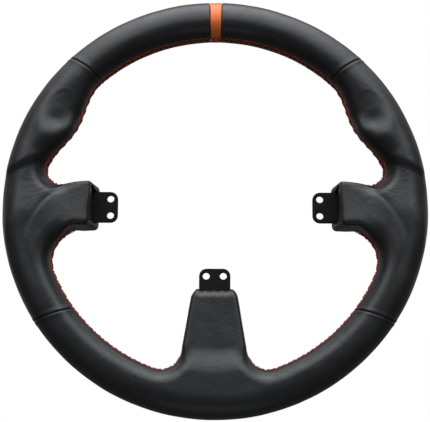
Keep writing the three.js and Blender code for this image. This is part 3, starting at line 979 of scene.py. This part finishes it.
class Surface:
    """A material being built: a principled shader and the texture nodes that feed it."""

    def __init__(self, name, colour, roughness, **fixed):
        self.material = bpy.data.materials.new(name)
        self.material.use_nodes = True
        self.tree = self.material.node_tree
        self.shader = self.tree.nodes["Principled BSDF"]
        self.shader.inputs["Base Color"].default_value = (*colour, 1)
        self.shader.inputs["Roughness"].default_value = roughness
        for socket, value in fixed.items():
            self.shader.inputs[socket.replace("_", " ")].default_value = value
        self.place = self.add("ShaderNodeTexCoord").outputs["Object"]
        self.height = None

    def add(self, kind, links=None, **values):
        """A new node, with a link or a number for each socket that is named."""
        node = self.tree.nodes.new(kind)
        for name, value in values.items():
            setattr(node, name, value)
        for socket, source in (links or {}).items():
            if isinstance(source, bpy.types.NodeSocket):
                self.tree.links.new(source, node.inputs[socket])
            else:
                node.inputs[socket].default_value = source
        return node

    def mapped(self, value, start, end, low=0, high=1):
        """A value that runs from low to high while another goes from start to end."""
        links = {"Value": value, "From Min": start, "From Max": end, "To Min": low, "To Max": high}
        return self.add("ShaderNodeMapRange", links).outputs["Result"]

    def noise(self, per_metre, detail=2, distortion=0, place=None):
        """Smooth noise with so many waves to the metre."""
        links = {"Vector": place or self.place, "Scale": per_metre, "Detail": detail}
        node = self.add("ShaderNodeTexNoise", {**links, "Distortion": distortion})
        return node.outputs["Fac"]

    def cells(self, per_metre):
        """Distance from the edges of small cells, so many to the metre."""
        links = {"Vector": self.place, "Scale": per_metre}
        node = self.add("ShaderNodeTexVoronoi", links, feature="DISTANCE_TO_EDGE")
        return node.outputs["Distance"]

    def roughness(self, noise, low, high):
        """The roughness, following a noise from one value to another."""
        source = self.mapped(noise, NOISE_LOW, NOISE_HIGH, low, high)
        self.tree.links.new(source, self.shader.inputs["Roughness"])

    def colours(self, noise, low, high):
        """The base colour, following a noise from one colour to another."""
        node = self.add("ShaderNodeValToRGB", {"Fac": noise})
        stops = zip(node.color_ramp.elements, (NOISE_LOW, NOISE_HIGH), (low, high))
        for stop, position, colour in stops:
            stop.position = position
            stop.color = (*colour, 1)
        self.tree.links.new(node.outputs["Color"], self.shader.inputs["Base Color"])

    def bump(self, factor, height_mm):
        """Relief of so many millimetres, added to the relief that is there already."""
        links = {"Height": factor, "Distance": height_mm * MM, "Strength": 1}
        if self.height:
            links["Normal"] = self.height
        self.height = self.add("ShaderNodeBump", links).outputs["Normal"]
        self.tree.links.new(self.height, self.shader.inputs["Normal"])


FAN_MIDDLE = (0.108, 0.011)  # in metres, outward and up from the wheel's centre


def fan_height(surface):
    """Fine wrinkles that fan out from above each side spoke, as noise in polar coordinates."""
    tree = surface.tree
    parts = surface.add("ShaderNodeSeparateXYZ", {"Vector": surface.place}).outputs
    across = maths(tree, "SUBTRACT", maths(tree, "ABSOLUTE", parts["X"]), FAN_MIDDLE[0])
    upward = maths(tree, "SUBTRACT", parts["Z"], FAN_MIDDLE[1])
    angle = maths(tree, "ARCTAN2", upward, across)
    squares = [maths(tree, "POWER", side, 2) for side in (across, upward)]
    reach = maths(tree, "SQRT", maths(tree, "ADD", *squares))
    links = {"X": maths(tree, "MULTIPLY", angle, 9), "Y": maths(tree, "MULTIPLY", reach, 60)}
    polar = surface.add("ShaderNodeCombineXYZ", links).outputs["Vector"]
    lines = surface.noise(1, 3, 0, polar)
    near = surface.mapped(reach, 0.034, 0.012)
    outward = surface.mapped(across, 0.003, 0.010)
    return maths(tree, "MULTIPLY", lines, maths(tree, "MULTIPLY", near, outward))


def leather_material(name, dark, light, roughness):
    """Smooth cowhide: shallow pebbled grain, fine pores, soft waves and a slightly uneven satin."""
    surface = Surface(name, dark, roughness, Specular_Tint=(0.91, 0.94, 1, 1), Sheen_Weight=0.01)
    surface.colours(surface.noise(45, 4), dark, light)
    surface.roughness(surface.noise(70, 3), roughness - 0.05, roughness + 0.07)
    surface.bump(surface.noise(90, 3, 0.8), 0.24)
    surface.bump(fan_height(surface), 0.4)
    surface.bump(surface.noise(420, 2, 0.5), 0.09)
    surface.bump(surface.cells(1000), 0.08)
    surface.bump(surface.noise(3600, 2), 0.015)
    return surface.material


def thread_material():
    """Waxed twisted polyester: fine fibres, darker in the valleys between them."""
    surface = Surface("red_thread", (0.3, 0.03, 0.01), 0.45, Specular_IOR_Level=0.35)
    surface.colours(surface.noise(1500, 3), (0.15, 0.009, 0.004), (0.62, 0.1, 0.03))
    surface.bump(surface.noise(5000, 2, 1.5), 0.04)
    return surface.material


def foam_material():
    """Moulded polyurethane: dull, with the open cells of a trimmed skin."""
    surface = Surface("foam", (0.012, 0.012, 0.012), 0.9)
    surface.colours(surface.noise(900, 3), (0.008, 0.008, 0.008), (0.02, 0.02, 0.02))
    surface.bump(surface.cells(1400), 0.2)
    return surface.material


def powder_coat_material():
    """Black powder coat: an even orange-peel skin with a fine grit."""
    surface = Surface("black_steel", (0.002, 0.002, 0.0022), 0.6, Specular_IOR_Level=0.15)
    surface.roughness(surface.noise(220, 3), 0.5, 0.68)
    surface.bump(surface.noise(1300, 2), 0.03)
    surface.bump(surface.noise(6000, 2), 0.01)
    return surface.material


def steel_material():
    """Mill-finish steel with drawing lines and a patchy grey tone."""
    surface = Surface("bare_steel", (0.35, 0.35, 0.36), 0.35, Metallic=1.0)
    surface.colours(surface.noise(30, 4), (0.2, 0.19, 0.2), (0.45, 0.44, 0.43))
    surface.roughness(surface.noise(800, 4), 0.28, 0.5)
    surface.bump(surface.noise(2500, 3, 2), 0.02)
    return surface.material


def cover(piece, material):
    """Gives a piece one material in place of any that it has."""
    piece.data.materials.clear()
    piece.data.materials.append(material)


def dress(pieces, material):
    """Covers new pieces with a material."""
    for piece in pieces:
        cover(piece, material)


# ---- studio ----

FLOOR_HEIGHT = -1.2          # in metres, from the wheel's centre
FLOOR_REACH = 40


def make_floor():
    """A plain pale floor, far enough below that it throws no light up on the wheel."""
    mesh = bpy.data.meshes.new("floor")
    signs = ((-1, -1), (1, -1), (1, 1), (-1, 1))
    corners = [(FLOOR_REACH * x, FLOOR_REACH * y, 0) for x, y in signs]
    mesh.from_pydata(corners, [], [(0, 1, 2, 3)])
    floor = bpy.data.objects.new("floor", mesh)
    floor.location.z = FLOOR_HEIGHT
    bpy.context.collection.objects.link(floor)
    surface = Surface("floor", (0.8, 0.8, 0.8), 0.9, Emission_Strength=0.75)
    surface.shader.inputs["Emission Color"].default_value = (1, 1, 1, 1)
    mesh.materials.append(surface.material)
    floor.visible_diffuse = False
    floor.visible_glossy = False


# Soft lights all round the room: elevation and azimuth in degrees, and strength. Azimuth 0 is
# the driver's side. Each light off the middle has a twin on the other side.
GLOWS = {
    "overhead": (90, 0, 3.2),
    "high front": (64, 0, 3.4),
    "high side": (64, 60, 1.9),
    "high rear side": (64, 120, 1.5),
    "front": (38, 0, 1.9),
    "front side": (38, 40, 2.1),
    "half-low front side": (26, 55, 0.9),
    "rear side": (38, 120, 0.15),
    "low rear side": (12, 140, 0.4),
    "low front": (12, 0, 0.25),
    "low front side": (12, 35, 0.2),
    "floor front": (-15, 0, 0.2),
    "floor front side": (-15, 40, 0.2),
    "floor": (-70, 0, 0.45),
}
ROOM_LEVEL = 0.1             # light from everywhere
GLOW_FOCUS = 20              # how narrow each soft light is


def make_world():
    """White behind the object for the camera, and a softly lit room for the object to reflect."""
    world = bpy.data.worlds.new("room")
    bpy.context.scene.world = world
    world.use_nodes = True
    tree = world.node_tree
    direction = tree.nodes.new("ShaderNodeTexCoord").outputs["Generated"]

    def glow(elevation, azimuth, strength):
        up = math.radians(elevation)
        turn = math.radians(azimuth)
        flat = math.cos(up)
        towards = tree.nodes.new("ShaderNodeVectorMath")
        towards.operation = "DOT_PRODUCT"
        tree.links.new(direction, towards.inputs[0])
        source = (math.sin(turn) * flat, -math.cos(turn) * flat, math.sin(up))
        towards.inputs[1].default_value = source
        facing = maths(tree, "MAXIMUM", towards.outputs["Value"], 0)
        return maths(tree, "MULTIPLY", maths(tree, "POWER", facing, GLOW_FOCUS), strength)

    room = ROOM_LEVEL
    for elevation, azimuth, strength in GLOWS.values():
        for turn in {azimuth, -azimuth}:
            room = maths(tree, "ADD", room, glow(elevation, turn, strength))
    seen = tree.nodes.new("ShaderNodeLightPath").outputs["Is Camera Ray"]
    unseen = maths(tree, "MULTIPLY", room, maths(tree, "SUBTRACT", 1, seen))
    background = tree.nodes["Background"]
    tree.links.new(maths(tree, "ADD", unseen, seen), background.inputs["Strength"])
    background.inputs["Color"].default_value = (1, 1, 1, 1)


CAMERA_DISTANCE = 1.0        # in metres, from the wheel's centre
CAMERA_DROP = math.radians(12.5)
CAMERA_TURN = math.radians(0.5)
CAMERA_ROLL = math.radians(0.3)
LENS = 118.75                # millimetres, on a sensor 36 wide
SHIFT = (-0.0001, -0.0127)


def make_camera():
    """Looks slightly up at the wheel from just below its axis, a touch to the right and rolled."""
    data = bpy.data.cameras.new("camera")
    data.sensor_width = 36
    data.lens = LENS
    data.shift_x, data.shift_y = SHIFT
    data.clip_start = 0.05
    data.clip_end = 100
    camera = bpy.data.objects.new("camera", data)
    flat = math.cos(CAMERA_DROP)
    back = (math.sin(CAMERA_TURN) * flat, -math.cos(CAMERA_TURN) * flat, -math.sin(CAMERA_DROP))
    back = Vector(back)
    camera.location = back * CAMERA_DISTANCE
    camera.rotation_mode = "QUATERNION"
    camera.rotation_quaternion = back.to_track_quat("Z", "Y") @ Quaternion((0, 0, 1), CAMERA_ROLL)
    bpy.context.collection.objects.link(camera)
    bpy.context.scene.camera = camera


# ---- assembly ----

make_camera()
make_world()
make_floor()
bpy.context.scene.view_settings.view_transform = "Standard"

black_leather = leather_material(
    "black_leather", dark=(0.004, 0.0042, 0.0046), light=(0.008, 0.0082, 0.0088), roughness=0.34)
orange_leather = leather_material(
    "orange_leather", dark=(0.62, 0.125, 0.022), light=(0.78, 0.175, 0.03), roughness=0.45)
panels = make_panels()
dress([panels.pop("centre_marker")], orange_leather)
dress(panels.values(), black_leather)
thread = thread_material()
for lacing_name, lacing_line in LACING_LINES.items():
    dress(make_thread(lacing_name, lacing_line), thread)
foam = make_foam()
dress([foam], foam_material())

side_end = PLATE_LOW[0]
foot_end = -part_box("bottom_spoke_plate")[1].z / MM
dress([
    make_plate("left_spoke_plate", (-1, 0, 0), (0, 0, 1), side_end),
    make_plate("right_spoke_plate", (1, 0, 0), (0, 0, -1), side_end),
    make_plate("bottom_spoke_plate", (0, 0, -1), (-1, 0, 0), foot_end),
], powder_coat_material())

bare_steel = steel_material()
sides = ("left", "right", "bottom")
welds = [f"{side}_{place}_weld" for side in sides for place in ("inner", "outer")]
for node in ("rim_hoop", *welds):
    cover(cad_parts[node], bare_steel)
